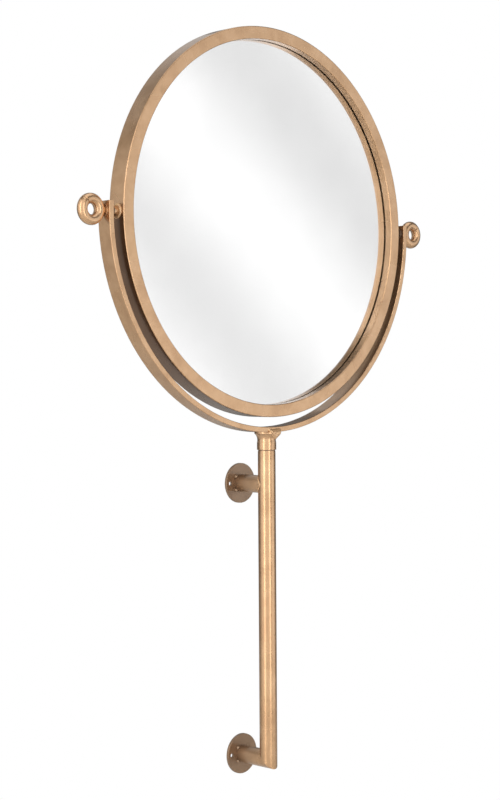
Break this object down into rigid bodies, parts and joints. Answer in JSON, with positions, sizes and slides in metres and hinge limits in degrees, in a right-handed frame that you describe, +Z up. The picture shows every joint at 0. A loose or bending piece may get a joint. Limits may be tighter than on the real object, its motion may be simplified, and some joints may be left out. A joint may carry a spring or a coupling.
{
  "type": "wall mirror",
  "caption": "Round framed mirror that tilts in a half-hoop yoke with ring-headed screws, swivels on a lifting stem, and stands off the wall on a tube post.",
  "frame": {"origin": "centre of the lower wall plate's back face, on the wall", "axes": "+Z up along the post, +Y into the wall, so the mirror faces -Y; +X to the viewer's right"},
  "size_m": [0.5556, 0.0605, 0.872],
  "materials": {
    "antique_gold_lacquer": "satin, lightly mottled antique gold lacquer on steel",
    "weld_lacquer": "weld metal under the same lacquer, slightly rough",
    "float_glass": "polished float glass with a ground edge",
    "mirror_silver": "silvered mirror coating under backing paint",
    "grey_foam": "closed-cell foam sheet",
    "hardboard": "tempered hardboard, smooth brown",
    "zinc_steel": "bright zinc-plated steel",
    "plain_steel": "drawn steel, lightly oiled",
    "black_nylon": "moulded nylon",
    "blackened_steel": "black-oxide screw"
  },
  "bodies": {
    "wall_post": {"lower_wall_plate": "antique_gold_lacquer", "upper_wall_plate": "antique_gold_lacquer", "lower_arm": "antique_gold_lacquer", "upper_arm": "antique_gold_lacquer", "post_tube": "antique_gold_lacquer", "lower_plate_tacks": "weld_lacquer", "upper_plate_tacks": "weld_lacquer", "upper_arm_weld": "weld_lacquer", "post_guide_bush": "black_nylon", "height_lock_screw": "blackened_steel"},
    "stem": {"stem_tube": "plain_steel", "stem_plug": "antique_gold_lacquer", "stem_glide": "black_nylon", "swivel_washer": "black_nylon", "head_screw": "blackened_steel"},
    "head": {"yoke_bar": "antique_gold_lacquer", "collar": "antique_gold_lacquer", "collar_weld": "weld_lacquer"},
    "mirror": {"mirror_frame": "antique_gold_lacquer", "glass": "float_glass", "silvering": "mirror_silver", "foam_pad": "grey_foam", "backing_board": "hardboard", "retaining_clips": "zinc_steel", "clip_screws": "zinc_steel", "left_pivot_barrel": "antique_gold_lacquer", "right_pivot_barrel": "antique_gold_lacquer", "left_barrel_weld": "weld_lacquer", "right_barrel_weld": "weld_lacquer", "left_pivot_spacer": "black_nylon", "right_pivot_spacer": "black_nylon"},
    "left_washer": {"left_lock_washer": "blackened_steel"},
    "left_eye": {"left_eye_screw": "antique_gold_lacquer"},
    "right_washer": {"right_lock_washer": "blackened_steel"},
    "right_eye": {"right_eye_screw": "antique_gold_lacquer"}
  },
  "joints": [
    {"name": "height", "type": "slide", "parent": "wall_post", "child": "stem", "axis": [0, 0, 1], "range_m": [0, 0.12]},
    {"name": "swivel", "type": "hinge", "parent": "stem", "child": "head", "pos_m": [0, -0.0462, 0.38], "axis": [0, 0, 1], "range_deg": [-8, 8]},
    {"name": "tilt", "type": "hinge", "parent": "head", "child": "mirror", "pos_m": [0, -0.0462, 0.6235], "axis": [1, 0, 0], "range_deg": [-8, 8]},
    {"name": "left_washer_slide", "type": "slide", "parent": "mirror", "child": "left_washer", "axis": [-1, 0, 0], "range_m": [0, 0.00125]},
    {"name": "left_eye_turn", "type": "hinge", "parent": "left_washer", "child": "left_eye", "pos_m": [0, -0.0462, 0.6235], "axis": [-1, 0, 0], "range_deg": [0, 360]},
    {"name": "right_washer_slide", "type": "slide", "parent": "mirror", "child": "right_washer", "axis": [1, 0, 0], "range_m": [0, 0.00125]},
    {"name": "right_eye_turn", "type": "hinge", "parent": "right_washer", "child": "right_eye", "pos_m": [0, -0.0462, 0.6235], "axis": [1, 0, 0], "range_deg": [0, 360]}
  ],
  "couplings": [
    {"joint": "left_eye_turn", "follows": "left_washer_slide", "rad_per_m": 5026.5},
    {"joint": "right_eye_turn", "follows": "right_washer_slide", "rad_per_m": 5026.5}
  ]
}
